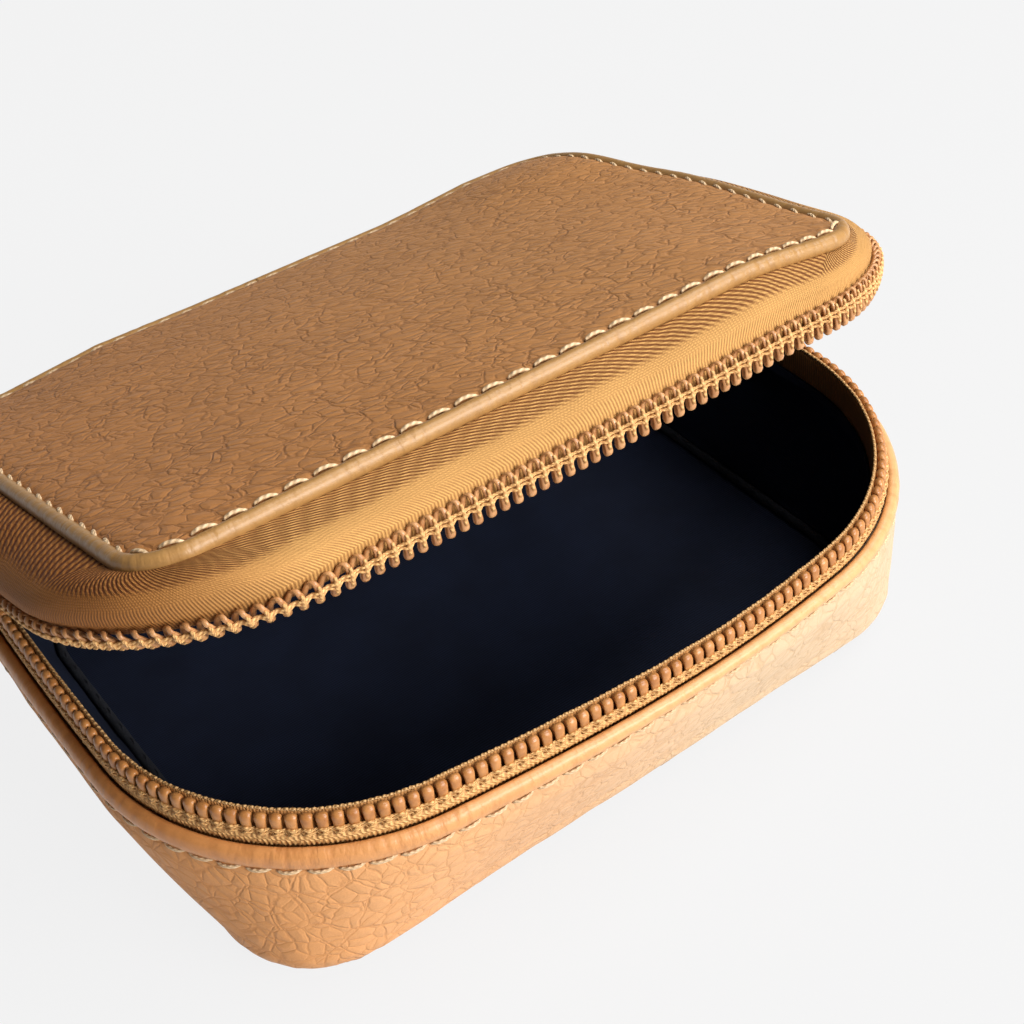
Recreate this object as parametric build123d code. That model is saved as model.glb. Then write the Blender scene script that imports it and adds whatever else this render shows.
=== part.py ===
from build123d import *
import os
from collections import namedtuple
from math import asin, atan2, cos, degrees, hypot, inf, pi, sin, sqrt

os.makedirs("parts", exist_ok=True)

# A zip-around leather cosmetic case, half open.
# Millimetres. X runs along the length, Y from front to back, Z up.
# The origin is the centre of the base panel's underside.

# Outline of the tray's rim, seen from above
rim_half_length = 54.0
rim_front = 43.4
rim_back = 40.0
rim_front_corner = 29.0
rim_back_corner = 16.0
rim_side_bow = 2.0
rim_front_bow = 5.6
rim_back_bow = 0.4

# Outline of the base, which the soft wall leans out from
base_half_length = 48.5
base_half_depth = 37.5
base_corner = 13.0
base_bow = 0.3

# Outline of the lid's top panel
panel_half_length = 47.0
panel_front = 34.8
panel_back = 37.0
panel_corner = 6.8
panel_bow = 0.6

# Heights
tray_height = 23.6
rim_band = 6.0
base_round = 4.4
chain_rise = 2.4
lid_knee_rise = 3.2
panel_rise = 6.8
panel_edge = 1.95
panel_crown = 0.9

# Materials' thicknesses and the gaps between plies
leather = 1.2
ply_gap = 0.1
padding_gap = 0.25
chain_gap = 0.05
stitch_gap = 0.02
base_board_thickness = 1.0
stiffener_thickness = 1.5
lining_thickness = 0.4
tape_thickness = 0.5
lid_board_thickness = 0.8
foam_thickness = 0.5

# How far each inner ply stops short of its neighbour
floor_inset = 2.8
stiffener_foot = 0.7
stiffener_head = 0.4
lining_drop = 1.8
lid_board_margin = 0.1
lid_lining_margin = 0.6
tape_top_inset = 0.8
spine_top_inset = 0.6

# Rounded edges, as (rise, inset) from the underside of each piece
base_edge = [(0, 3.4), (0.3, 2.5), (0.75, 2.15), (1.1, 2.2)]
panel_roll_edge = [(0, 0.7), (0.35, 0.1), (1.0, 0.0), (1.5, 0.25), (panel_edge, 0.95)]

# The lid pad's swell, as (share of the crown, inset from the pad's edge)
crown_steps = [(0.55, 6.0), (1.0, 20.0)]

# Turned edges
rim_roll_height = 3.3
rim_roll_thickness = 1.35
rim_roll_bulge = 0.35
panel_roll_width = 1.75
roll_round = 0.6
binding_radius = 0.6

# Zip
tooth_pitch = 1.55
tooth_width = 0.6
tooth_depth = 1.1
tooth_height = 3.6
tooth_engagement = 1.1
tape_overlap = 1.65
tape_hem = 6.0
tape_inset = 2.4
zip_end = 23.0
chain_thread_height = 0.5
chain_thread_thickness = 0.2
chain_thread_rise = 0.2
stop_length = 1.6

# Stitching
stitch_pitch = 3.2
stitch_length = 2.3
stitch_radius = 0.24

# Leather hinge along the back
hinge_half_length = 33.0
fold_radius = 0.9
fold_clearance = 0.2
hinge_leaf = 1.0
hinge_tail = 5.6
hinge_seat = 0.3
lid_rest_angle = 19.0

# Slider and pull
slider_length = 9.5
slider_wall = 1.0
slider_round = 1.8
slider_edge = 0.35
slider_clearance = 0.15
slider_travel = 16.0
slider_inner_drop = 1.5
slider_inner_rise = 0.4
slot_clearance = 0.25
flange_thickness = 0.6
post_length = 3.5
post_margin = 0.5
bail_height = 2.5
bail_width = 1.6
bail_half_span = 3.1
bail_wall = 1.0
bail_round = 1.2
pull_bar_radius = 0.5
pull_bar_end = 0.5
pull_length = 23.0
pull_width = 5.4
pull_thickness = 1.0
pull_window = 4.3
pull_window_half = 1.3
pull_hole_radius = 0.9

Outline = namedtuple(
    "Outline",
    "half_length front back front_corner back_corner side_bow front_bow back_bow",
)

RIM = Outline(
    rim_half_length,
    rim_front,
    rim_back,
    rim_front_corner,
    rim_back_corner,
    rim_side_bow,
    rim_front_bow,
    rim_back_bow,
)
BASE = Outline(
    base_half_length,
    base_half_depth,
    base_half_depth,
    base_corner,
    base_corner,
    base_bow,
    base_bow,
    base_bow,
)
PANEL = Outline(
    panel_half_length,
    panel_front,
    panel_back,
    panel_corner,
    panel_corner,
    panel_bow,
    panel_bow,
    panel_bow,
)

# Values that follow from the ones above
band_height = tray_height - rim_band
chain_height = tray_height + chain_rise
panel_height = chain_height + panel_rise
knee_height = chain_height + lid_knee_rise
panel_top = panel_height + panel_edge
coil_top = chain_height + tooth_engagement / 2
coil_foot = coil_top - tooth_height
coil_inset = tape_inset - chain_gap - tooth_depth
thread_inset = coil_inset - chain_gap - chain_thread_thickness
lining_inset = tape_inset + tape_thickness + ply_gap
lid_tooth_low = chain_height - tooth_engagement / 2
lid_lead_start = slider_length + stop_length
lid_lead_end = lid_lead_start + slider_travel
hinge_y = rim_back - leather - hinge_seat - hinge_leaf / 2
hinge_axis = Axis((0, hinge_y, chain_height), (1, 0, 0))
floor_height = leather + base_board_thickness + ply_gap
leather_edge = panel_top - ply_gap
foam_edge = leather_edge - leather - ply_gap / 2
lid_board_low = foam_edge - foam_thickness - ply_gap / 2 - lid_board_thickness
lid_lining_low = lid_board_low - ply_gap - lining_thickness


def circle_meet(first, first_radius, second, second_radius, side):
    """Where two circles meet, on the side that the pair side points to."""
    across = second[0] - first[0]
    up = second[1] - first[1]
    apart = hypot(across, up)
    along = (apart**2 + first_radius**2 - second_radius**2) / (2 * apart)
    off = sqrt(max(first_radius**2 - along**2, 0))
    mid = (first[0] + across * along / apart, first[1] + up * along / apart)
    step = (-up / apart * off, across / apart * off)
    one = (mid[0] + step[0], mid[1] + step[1])
    two = (mid[0] - step[0], mid[1] - step[1])
    return max(one, two, key=lambda p: p[0] * side[0] + p[1] * side[1])


def bow_radius(half_chord, bow):
    return (half_chord**2 + bow**2) / (2 * bow)


def outline_arcs(outline):
    """The eight tangent arcs of an outline, anticlockwise from the front side.

    Each is (centre x, centre y, radius, start angle, end angle), in radians.
    """
    half_depth = (outline.front + outline.back) / 2
    middle = (outline.back - outline.front) / 2
    side = bow_radius(half_depth, outline.side_bow)
    front = bow_radius(outline.half_length, outline.front_bow)
    back = bow_radius(outline.half_length, outline.back_bow)
    sides = [
        ((0, front - outline.front), front),
        ((outline.half_length - side, middle), side),
        ((0, outline.back - back), back),
        ((side - outline.half_length, middle), side),
    ]
    corner_radii = [
        outline.front_corner,
        outline.back_corner,
        outline.back_corner,
        outline.front_corner,
    ]
    toward = [(1, -1), (1, 1), (-1, 1), (-1, -1)]
    corners = []
    for index, radius in enumerate(corner_radii):
        centre, reach = sides[index]
        next_centre, next_reach = sides[(index + 1) % 4]
        place = circle_meet(
            centre, reach - radius, next_centre, next_reach - radius, toward[index]
        )
        corners.append((place, radius))
    arcs = []
    for index in range(4):
        centre, reach = sides[index]
        before = corners[index - 1][0]
        after = corners[index][0]
        start = atan2(before[1] - centre[1], before[0] - centre[0])
        end = atan2(after[1] - centre[1], after[0] - centre[0])
        arcs.append((centre[0], centre[1], reach, start, start + turn(end - start)))
        next_centre = sides[(index + 1) % 4][0]
        corner_end = atan2(after[1] - next_centre[1], after[0] - next_centre[0])
        radius = corners[index][1]
        arcs.append((after[0], after[1], radius, end, end + turn(corner_end - end)))
    return arcs


def turn(angle):
    """The same angle, from 0 to a full turn."""
    return angle % (2 * pi)


def arc_point(arc, angle, inset):
    x, y, radius = arc[:3]
    return x + (radius - inset) * cos(angle), y + (radius - inset) * sin(angle)


def smaller(outline, inset):
    """An outline drawn in by more than its corner radius allows."""
    shrink = (outline.half_length - inset) / outline.half_length
    least = 1.0
    return Outline(
        outline.half_length - inset,
        outline.front - inset,
        outline.back - inset,
        max(outline.front_corner - inset, least),
        max(outline.back_corner - inset, least),
        outline.side_bow * shrink**2,
        outline.front_bow * shrink**2,
        outline.back_bow * shrink**2,
    )


def section(outline, height, inset=0.0):
    """A flat face of the outline at a height, drawn in by inset."""
    if inset > min(outline.front_corner, outline.back_corner) - 1.0:
        outline = smaller(outline, inset)
        inset = 0.0
    edges = []
    for arc in outline_arcs(outline):
        points = []
        for share in (0, 0.5, 1):
            angle = arc[3] + (arc[4] - arc[3]) * share
            x, y = arc_point(arc, angle, inset)
            points.append((x, y, height))
        edges.append(Edge.make_three_point_arc(*points))
    return Face(Wire(edges))


def between(low, high, share):
    return Outline(*[a + (b - a) * share for a, b in zip(low, high)])


def wall_outline(height):
    """The outline of the tray's outer face at a height, and its extra inset."""
    if height >= band_height:
        return RIM, 0.0
    if height <= base_round:
        return BASE, base_round - sqrt(base_round**2 - (base_round - height) ** 2)
    share = (height - base_round) / (band_height - base_round)
    return between(BASE, RIM, share), 0.0


def wall_block(inset, low, high):
    """All that lies inside the tray's outer face, drawn in by inset."""
    middle = (base_round + band_height) / 2
    knots = [0.55 * base_round, base_round, middle, band_height]
    margin = 0.8
    heights = [low] + [k for k in knots if low + margin < k < high - margin] + [high]
    faces = []
    for height in heights:
        outline, extra = wall_outline(height)
        faces.append(section(outline, height, inset + extra))
    return loft(faces, ruled=True)


def wall_ring(inset, thickness, low, high):
    return wall_block(inset, low, high) - wall_block(inset + thickness, low, high)


def plate(outline, inset, low, high):
    return extrude(section(outline, low, inset), high - low)


def zip_run(inset):
    """The zip's path along the rim, from the left end round the front.

    Each stretch is (arc, start angle, end angle, start length).
    """
    arcs = outline_arcs(RIM)
    left, right = arcs[6], arcs[2]
    reach = left[2] - inset
    lift = asin((zip_end - left[1]) / reach)
    stretches = [
        (left, pi - lift, left[4]),
        (arcs[7], arcs[7][3], arcs[7][4]),
        (arcs[0], arcs[0][3], arcs[0][4]),
        (arcs[1], arcs[1][3], arcs[1][4]),
        (right, right[3], right[3] + turn(lift - right[3])),
    ]
    path = []
    length = 0.0
    for arc, start, end in stretches:
        path.append((arc, start, end, length))
        length += (end - start) * (arc[2] - inset)
    return path, length


def stations(path, inset, places):
    """The point and the outward direction at each length along a path."""
    found = []
    for place in places:
        for arc, start, end, before in path:
            angle = start + (place - before) / (arc[2] - inset)
            if angle <= end + 1e-9:
                break
        x, y = arc_point(arc, min(angle, end), inset)
        found.append((x, y, angle))
    return found


def closed_path(outline, inset):
    path = []
    length = 0.0
    for arc in outline_arcs(outline):
        path.append((arc, arc[3], arc[4], length))
        length += (arc[4] - arc[3]) * (arc[2] - inset)
    return path, length


def front_part(solid, limit):
    """The part of a ring that lies in front of a Y limit."""
    keep = 4 * rim_half_length
    block = Pos(0, limit - keep / 2, 0) * Box(keep, keep, keep)
    return solid & block


def back_part(solid, limit):
    keep = 4 * rim_half_length
    block = Pos(0, limit + keep / 2, 0) * Box(keep, keep, keep)
    return solid & block


# Tray


def base_leather():
    return loft([section(BASE, z, inset) for z, inset in base_edge], ruled=True)


def wall_leather():
    top = tray_height - rim_roll_height - ply_gap / 2
    return wall_ring(0, leather, leather, top)


def rim_roll():
    low = tray_height - rim_roll_height
    shape = [
        (low, roll_round / 6),
        (low + roll_round, -rim_roll_bulge),
        (tray_height - roll_round, -rim_roll_bulge),
        (tray_height, roll_round / 2),
    ]
    outer = loft([section(RIM, z, inset) for z, inset in shape], ruled=True)
    inner = plate(RIM, rim_roll_thickness - rim_roll_bulge, low, tray_height)
    return outer - inner


def stitch_ring(outline, inset, height, standing):
    """A row of stitches along an outline, lying on a side or on a top."""
    path, length = closed_path(outline, inset)
    count = round(length / stitch_pitch)
    stitch = Rot(90, 0, 0) * Cylinder(stitch_radius, stitch_length)
    places = [(i + 0.5) * length / count for i in range(count)]
    out = stitch_radius + stitch_gap
    row = []
    for x, y, angle in stations(path, inset, places):
        side = out if standing else 0
        rise = 0 if standing else out
        place = (x + side * cos(angle), y + side * sin(angle), height + rise)
        row.append(Location(place, (0, 0, degrees(angle))) * stitch)
    return Compound(row)


def rim_stitching():
    height = tray_height - rim_roll_height - stitch_radius - ply_gap
    return stitch_ring(RIM, 0, height, standing=True)


def base_board():
    return plate(BASE, floor_inset, leather, leather + base_board_thickness)


def wall_stiffener():
    inset = leather + padding_gap
    low = floor_height + stiffener_foot
    high = band_height - stiffener_head
    return wall_ring(inset, stiffener_thickness, low, high)


def floor_lining():
    return plate(BASE, floor_inset, floor_height, floor_height + lining_thickness)


def wall_lining():
    low = floor_height + lining_thickness + ply_gap
    high = tray_height - lining_drop
    return wall_ring(lining_inset, lining_thickness, low, high)


def seam_binding():
    """The bound seam where the wall lining meets the floor lining."""
    low = floor_height + lining_thickness + ply_gap
    outline, extra = wall_outline(low)
    inset = lining_inset + lining_thickness + extra + ply_gap
    half = binding_radius
    solids = []
    for foot, head in ((0, half), (2 * half, 1.5 * half)):
        shape = [(low, foot), (low + half, foot), (low + 2 * half, head)]
        faces = [section(outline, z, inset + i) for z, i in shape]
        solids.append(loft(faces, ruled=True))
    return solids[0] - solids[1]


def tray_zip_tape():
    low = tray_height - tape_hem
    high = coil_foot + tape_overlap
    ring = wall_ring(tape_inset, tape_thickness, low, high)
    return front_part(ring, zip_end + stop_length)


def tooth():
    """One tooth: its long way is Z, its width runs along the chain."""
    face = Plane.YZ * RectangleRounded(tooth_width, tooth_height, 0.45 * tooth_width)
    return extrude(face, tooth_depth / 2, both=True)


def teeth(phase, low, first=0, last=inf):
    """A row of teeth along the zip, between two distances from its left end."""
    inset = coil_inset + tooth_depth / 2
    path, length = zip_run(inset)
    spare = stop_length + tooth_pitch
    count = int((length - 2 * spare) / tooth_pitch)
    places = [spare + (i + phase) * tooth_pitch for i in range(count)]
    one = tooth()
    row = []
    for x, y, angle in stations(path, inset, [p for p in places if first < p <= last]):
        place = Location((x, y, low + tooth_height / 2), (0, 0, degrees(angle)))
        row.append(place * one)
    return Compound(row)


def tray_zip_teeth():
    return teeth(0, coil_foot)


def chain_thread(tooth_low):
    low = tooth_low + tooth_height / 2 - chain_thread_height / 2
    high = low + chain_thread_height
    outer = plate(RIM, thread_inset, low, high)
    inner = plate(RIM, thread_inset + chain_thread_thickness, low, high)
    return front_part(outer - inner, zip_end - stop_length)


def tray_zip_thread():
    return chain_thread(coil_foot - chain_thread_rise)


def end_stops(low, height):
    """A stop on the tape at each end of the chain."""
    inset = coil_inset + tooth_depth / 2
    path, length = zip_run(inset)
    block = Box(tooth_depth, stop_length, height)
    row = []
    for x, y, angle in stations(path, inset, [stop_length / 2, length - stop_length / 2]):
        place = Location((x, y, low + height / 2), (0, 0, degrees(angle)))
        row.append(place * block)
    return Compound(row)


def tray_zip_stops():
    return end_stops(coil_foot, tooth_height - tooth_engagement)


def hinge_strip():
    """The leather hinge's tray half: the sewn tail and the fold above it."""
    low = tray_height - hinge_tail
    high = chain_height - fold_radius / 2
    tail = Box(2 * hinge_half_length, hinge_leaf, high - low)
    fold = Rot(0, 90, 0) * Cylinder(fold_radius, 2 * hinge_half_length)
    return Pos(0, hinge_y, (low + high) / 2) * tail + Pos(0, hinge_y, chain_height) * fold


# Lid, built closed


def lid_shell(inset, thickness, low, top_inset):
    """A thin wall that rises from the chain and leans in under the panel."""
    high = panel_height - ply_gap
    outer = [(RIM, low, inset), (RIM, knee_height, inset), (PANEL, high, top_inset)]
    inner = [(o, z, i + thickness) for o, z, i in outer]
    solids = []
    for shape in (outer, inner):
        solids.append(loft([section(o, z, i) for o, z, i in shape], ruled=True))
    return solids[0] - solids[1]


def lid_zip_tape():
    low = lid_tooth_low + tooth_height - tape_overlap
    ring = lid_shell(tape_inset, tape_thickness, low, tape_top_inset)
    return front_part(ring, zip_end + stop_length)


def lid_zip_lead_teeth():
    """The lid's teeth that the slider's post parts from the tray's along its travel."""
    return teeth(0.5, lid_tooth_low, lid_lead_start, lid_lead_end)


def lid_zip_teeth():
    return teeth(0.5, lid_tooth_low, lid_lead_end)


def lid_zip_thread():
    thread = chain_thread(lid_tooth_low + 2 * chain_thread_rise)
    return front_part(thread, zip_end - slider_length - 2 * stop_length)


def lid_zip_stops():
    low = chain_height + tooth_engagement / 2 + 2 * ply_gap
    return end_stops(low, tooth_height - tooth_engagement - 3 * ply_gap)


def lid_spine():
    """The leather back wall of the lid, hollowed round the hinge fold."""
    inset = rim_back - hinge_y - hinge_leaf / 2
    low = chain_height + fold_radius / 2
    ring = lid_shell(inset, hinge_leaf, low, spine_top_inset)
    wall = back_part(ring, zip_end + stop_length + ply_gap)
    fold = Cylinder(fold_radius + fold_clearance, 2 * hinge_half_length + 1)
    return wall - Pos(0, hinge_y, chain_height) * Rot(0, 90, 0) * fold


def lid_spine_lining():
    inset = rim_back - hinge_y + hinge_leaf / 2 + ply_gap
    low = chain_height + fold_radius
    top_inset = spine_top_inset + hinge_leaf + ply_gap
    ring = lid_shell(inset, lining_thickness, low, top_inset)
    wide = 4 * rim_half_length
    under = Pos(0, 0, lid_lining_low - ply_gap - wide / 2) * Box(wide, wide, wide)
    return back_part(ring & under, zip_end + stop_length + ply_gap)


def panel_edge_roll():
    faces = [section(PANEL, panel_height + z, inset) for z, inset in panel_roll_edge]
    roll = loft(faces, ruled=True)
    return roll - plate(PANEL, panel_roll_width, panel_height, panel_top)


def crown(low, edge):
    """A flat-bottomed pad whose top swells from its edge to its middle."""
    inset = panel_roll_width + ply_gap / 2
    faces = [section(PANEL, edge, inset)]
    for share, reach in crown_steps:
        faces.append(section(PANEL, edge + share * panel_crown, inset + reach))
    return plate(PANEL, inset, low, edge) + loft(faces, ruled=True)


def panel_leather():
    under = leather_edge - leather
    return crown(under, leather_edge) - crown(under - 1, under)


def panel_foam():
    return crown(foam_edge - foam_thickness, foam_edge)


def panel_stitching():
    inset = panel_roll_width - ply_gap
    return stitch_ring(PANEL, inset, panel_top, standing=False)


def lid_board():
    inset = panel_roll_width + lid_board_margin
    return plate(PANEL, inset, lid_board_low, lid_board_low + lid_board_thickness)


def lid_lining():
    high = lid_lining_low + lining_thickness
    return plate(PANEL, panel_roll_width + lid_lining_margin, lid_lining_low, high)


def on_lid(shape):
    """The closed lid's piece, swung open to the rest pose."""
    return shape.rotate(hinge_axis, -lid_rest_angle)


# Slider, in its own frame: X away from the case, Y towards the front, Z up


def slider_place(along):
    """The slider's frame on the left side, at a distance along its travel."""
    left = outline_arcs(RIM)[6]
    middle = zip_end - stop_length / 2 - (slider_length + slider_travel) / 2
    lift = asin((middle - left[1]) / left[2])
    angle = pi - lift
    x, y = arc_point(left, angle, 0)
    offset = along - slider_travel / 2
    x += offset * -sin(angle)
    y += offset * cos(angle)
    return Location((x, y, 0), (0, 0, degrees(angle)))


plate_out = slider_clearance - thread_inset
plate_low = tray_height + slider_clearance
plate_high = lid_tooth_low + tooth_height + slot_clearance + flange_thickness
inner_out = -(tape_inset + tape_thickness + slot_clearance)
inner_low = tray_height - slider_inner_drop
pull_height = (plate_low + plate_high) / 2
pull_out = plate_out + slider_wall + pull_bar_radius + slider_clearance


def block(x_low, x_high, y_low, y_high, z_low, z_high):
    size = (x_high - x_low, y_high - y_low, z_high - z_low)
    centre = ((x_low + x_high) / 2, (y_low + y_high) / 2, (z_low + z_high) / 2)
    return Pos(*centre) * Box(*size)


def slider_body():
    """Two plates either side of the chain, joined by a post and a flange."""
    half = slider_length / 2
    outer = block(plate_out, plate_out + slider_wall, -half, half, plate_low, plate_high)
    outer = fillet(outer.edges().filter_by(Axis.X), slider_round)
    outer = fillet(outer.faces().sort_by(Axis.X)[-1].edges(), slider_edge)
    flange_half = half - slider_round
    flange_low = plate_high - flange_thickness
    flange_in = slot_clearance - tape_inset
    flange = block(flange_in, plate_out, -flange_half, flange_half, flange_low, plate_high)
    inner_high = chain_height + tooth_height - tooth_engagement + slider_inner_rise
    inner = block(inner_out - slider_wall, inner_out, -half, half, inner_low, inner_high)
    inner = fillet(inner.edges().filter_by(Axis.X), slider_round)
    post_low = coil_top + slider_clearance
    post_high = lid_tooth_low + tooth_height - tape_overlap - slider_clearance
    post_front = half - post_margin
    post_back = post_front - post_length
    post = block(inner_out, plate_out, post_back, post_front, post_low, post_high)
    return outer + flange + inner + post


def slider_bail():
    """The arch on the slider's outer plate that holds the pull."""
    foot = plate_out + slider_wall
    half = bail_width / 2
    span = bail_half_span
    arch = block(foot, foot + bail_height, -span, span, -half, half)
    arch = fillet(arch.edges().filter_by(Axis.Z).group_by(Axis.X)[-1], bail_round)
    gap = bail_half_span - bail_wall
    high = foot + 2 * pull_bar_radius + 2 * slider_clearance
    hole = block(foot - slider_wall, high, -gap, gap, -bail_width, bail_width)
    return Pos(0, 0, pull_height) * (arch - hole)


def pull_tab():
    """A flat pull that hangs from a round bar under the bail."""
    bar = Cylinder(pull_bar_radius, 2 * (pull_window_half + pull_bar_end))
    half = pull_width / 2
    deep = pull_thickness / 2
    tab = block(-deep, deep, -pull_length, pull_bar_end, -half, half)
    tab = fillet(tab.edges().filter_by(Axis.X).group_by(Axis.Y)[0], 0.98 * half)
    window = block(-1, 1, -pull_window, 1, -pull_window_half, pull_window_half)
    hole = Rot(0, 90, 0) * Cylinder(pull_hole_radius, 2 * pull_thickness)
    hole = Pos(0, 1.15 * half - pull_length, 0) * hole
    return Pos(pull_out, 0, pull_height) * (tab - window - hole + bar)


def on_slider(shape):
    return slider_place(0) * shape


def build():
    """Every piece in the rest pose, by name."""
    tray = [
        base_leather,
        wall_leather,
        rim_roll,
        rim_stitching,
        base_board,
        wall_stiffener,
        floor_lining,
        wall_lining,
        seam_binding,
        tray_zip_tape,
        tray_zip_teeth,
        tray_zip_thread,
        tray_zip_stops,
        hinge_strip,
    ]
    lid = [
        lid_zip_tape,
        lid_zip_lead_teeth,
        lid_zip_teeth,
        lid_zip_thread,
        lid_zip_stops,
        lid_spine,
        lid_spine_lining,
        panel_edge_roll,
        panel_leather,
        panel_foam,
        panel_stitching,
        lid_board,
        lid_lining,
    ]
    slider = [slider_body, slider_bail, pull_tab]
    pieces = {make.__name__: make() for make in tray}
    pieces.update({make.__name__: on_lid(make()) for make in lid})
    pieces.update({make.__name__: on_slider(make()) for make in slider})
    return pieces


for name, piece in build().items():
    export_step(piece, f"parts/{name}.step")

place = slider_place(0)
print("hinge axis", 0, round(hinge_y, 4), chain_height)
print("slider frame", place.position, place.orientation)
pivot = place * Pos(pull_out, 0, pull_height)
print("pull pivot", pivot.position)
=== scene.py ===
from collections import namedtuple
from math import atan2, cos, hypot, pi, radians, sin, sqrt

import bpy
import numpy as np
from mathutils import Euler, Matrix, Vector


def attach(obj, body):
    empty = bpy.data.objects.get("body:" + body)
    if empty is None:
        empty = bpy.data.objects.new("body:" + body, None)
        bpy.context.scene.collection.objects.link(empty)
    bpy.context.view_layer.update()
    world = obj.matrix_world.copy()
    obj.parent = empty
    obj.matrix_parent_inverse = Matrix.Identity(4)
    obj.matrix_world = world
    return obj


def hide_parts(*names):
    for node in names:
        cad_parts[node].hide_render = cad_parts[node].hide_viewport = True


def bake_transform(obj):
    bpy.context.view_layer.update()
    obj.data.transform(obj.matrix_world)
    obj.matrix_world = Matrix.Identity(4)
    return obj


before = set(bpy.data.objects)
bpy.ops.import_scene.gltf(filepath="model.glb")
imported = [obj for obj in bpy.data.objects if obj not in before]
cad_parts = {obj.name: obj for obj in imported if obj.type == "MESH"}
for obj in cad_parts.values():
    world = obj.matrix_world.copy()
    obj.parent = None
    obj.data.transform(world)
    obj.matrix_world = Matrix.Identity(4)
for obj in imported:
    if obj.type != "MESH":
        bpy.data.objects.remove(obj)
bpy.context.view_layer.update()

# Lengths are in millimetres until a mesh is made. X runs along the case, Y from front to back.
MM = 0.001
HINGE_Y, HINGE_Z, OPEN = 38.0, 26.0, radians(19.0)
ZIP_END = 23.0
STITCH_PITCH = 3.2
TOOTH_PITCH = 1.55
# Heights: end of the foot's round edge, widest part and top of the tray, root of each coil on its tape,
# foot and knee of the lid's back wall
BEND, BAND, TRAY_TOP, TRAY_CHAIN, LID_CHAIN, LID_FOOT, LID_KNEE = 4.4, 17.6, 23.6, 22.95, 29.05, 26.75, 29.2
# The coil's run is measured this far inside the rim's or the lid's line, and starts this far along it
COIL_INSET, COIL_START = 1.8, 1.6
# Heights between which the hinge bends
FOLD_LOW, FOLD_HIGH = 25.0, 27.2

Outline = namedtuple("Outline", "half front back front_corner back_corner side_bow front_bow back_bow")
RIM = Outline(54.0, 43.6, 40.0, 29.6, 16.0, 2.0, 5.8, 0.4)
BASE = Outline(48.5, 37.5, 37.5, 13.0, 13.0, 0.3, 0.3, 0.3)
PANEL = Outline(47.2, 34.6, 37.2, 6.6, 6.6, 0.25, 0.5, 0.25)
LINE = Outline(53.7, 41.7, 40.0, 25.0, 16.0, 2.0, 3.0, 0.4)


# Outlines

def circle_meet(c1, r1, c2, r2, side):
    """Where two circles cross, on the given side."""
    dx, dy = c2[0] - c1[0], c2[1] - c1[1]
    d = hypot(dx, dy)
    a = (d * d + r1 * r1 - r2 * r2) / (2 * d)
    h = sqrt(max(r1 * r1 - a * a, 0))
    mx, my = c1[0] + dx * a / d, c1[1] + dy * a / d
    ends = [(mx - dy / d * h, my + dx / d * h), (mx + dy / d * h, my - dx / d * h)]
    return max(ends, key=lambda p: p[0] * side[0] + p[1] * side[1])


def arcs(o):
    """Eight tangent arcs, anticlockwise from the front side: centre, radius, start and end angle."""
    def bow(half, rise):
        return (half * half + rise * rise) / (2 * rise)
    mid = (o.back - o.front) / 2
    rs = bow((o.front + o.back) / 2, o.side_bow)
    rf, rb = bow(o.half, o.front_bow), bow(o.half, o.back_bow)
    front, back = ((0, rf - o.front), rf), ((0, o.back - rb), rb)
    right, left = ((o.half - rs, mid), rs), ((rs - o.half, mid), rs)
    sides = [front, right, back, left]
    radii = [o.front_corner, o.back_corner, o.back_corner, o.front_corner]
    toward = [(1, -1), (1, 1), (-1, 1), (-1, -1)]
    corners = []
    for i, r in enumerate(radii):
        (c, reach), (c2, reach2) = sides[i], sides[(i + 1) % 4]
        corners.append(circle_meet(c, reach - r, c2, reach2 - r, toward[i]))
    out = []
    for i in range(4):
        (c, reach), c2 = sides[i], sides[(i + 1) % 4][0]
        before, after = corners[i - 1], corners[i]
        start = atan2(before[1] - c[1], before[0] - c[0])
        end = atan2(after[1] - c[1], after[0] - c[0])
        out.append((c[0], c[1], reach, start, start + (end - start) % (2 * pi)))
        turned = atan2(after[1] - c2[1], after[0] - c2[0])
        out.append((after[0], after[1], radii[i], end, end + (turned - end) % (2 * pi)))
    return np.array(out)


def trace(o, s, inset=0.0):
    """Points and outward directions on an outline at places s, which go from 0 to 8 round it."""
    table = arcs(o)
    s = np.mod(np.asarray(s, float), 8)
    k = np.minimum(s.astype(int), 7)
    a = table[k, 3] + (table[k, 4] - table[k, 3]) * (s - k)
    r = table[k, 2] - inset
    out = np.c_[np.cos(a), np.sin(a)]
    return np.c_[table[k, 0] + r * out[:, 0], table[k, 1] + r * out[:, 1]], out


def between(a, b, t):
    """The outline a share t of the way from a to b."""
    return Outline(*[x + (y - x) * t for x, y in zip(a, b)])


def lengths(o, s, inset=0.0):
    """How far along the outline each place lies from the first."""
    p, _ = trace(o, s, inset)
    return np.r_[0, np.cumsum(np.hypot(*np.diff(p, axis=0).T))]


def spaced(o, s0, s1, step, inset=0.0):
    """Places from s0 to s1 about a step apart, and their lengths from s0."""
    s = np.linspace(s0, s1, 3000)
    run = lengths(o, s, inset)
    n = max(int(round(run[-1] / step)), 2)
    places = np.linspace(0, run[-1], n + 1)
    return np.interp(places, run, s), places


def at_lengths(o, s0, s1, places, inset=0.0):
    """The places that lie these lengths from s0."""
    s = np.linspace(s0, s1, 4000)
    return np.interp(places, lengths(o, s, inset), s)


def zip_ends(o):
    """Where the zip's run starts on the left side and ends on the right side."""
    left, right = np.linspace(6, 7, 900), np.linspace(2, 3, 900)
    s0 = np.interp(-ZIP_END, -trace(o, left)[0][:, 1], left)
    s1 = np.interp(ZIP_END, trace(o, right)[0][:, 1], right)
    return s0, 8 + s1


# Mesh helpers

TABLE = np.random.RandomState(7).rand(256, 256)


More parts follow.
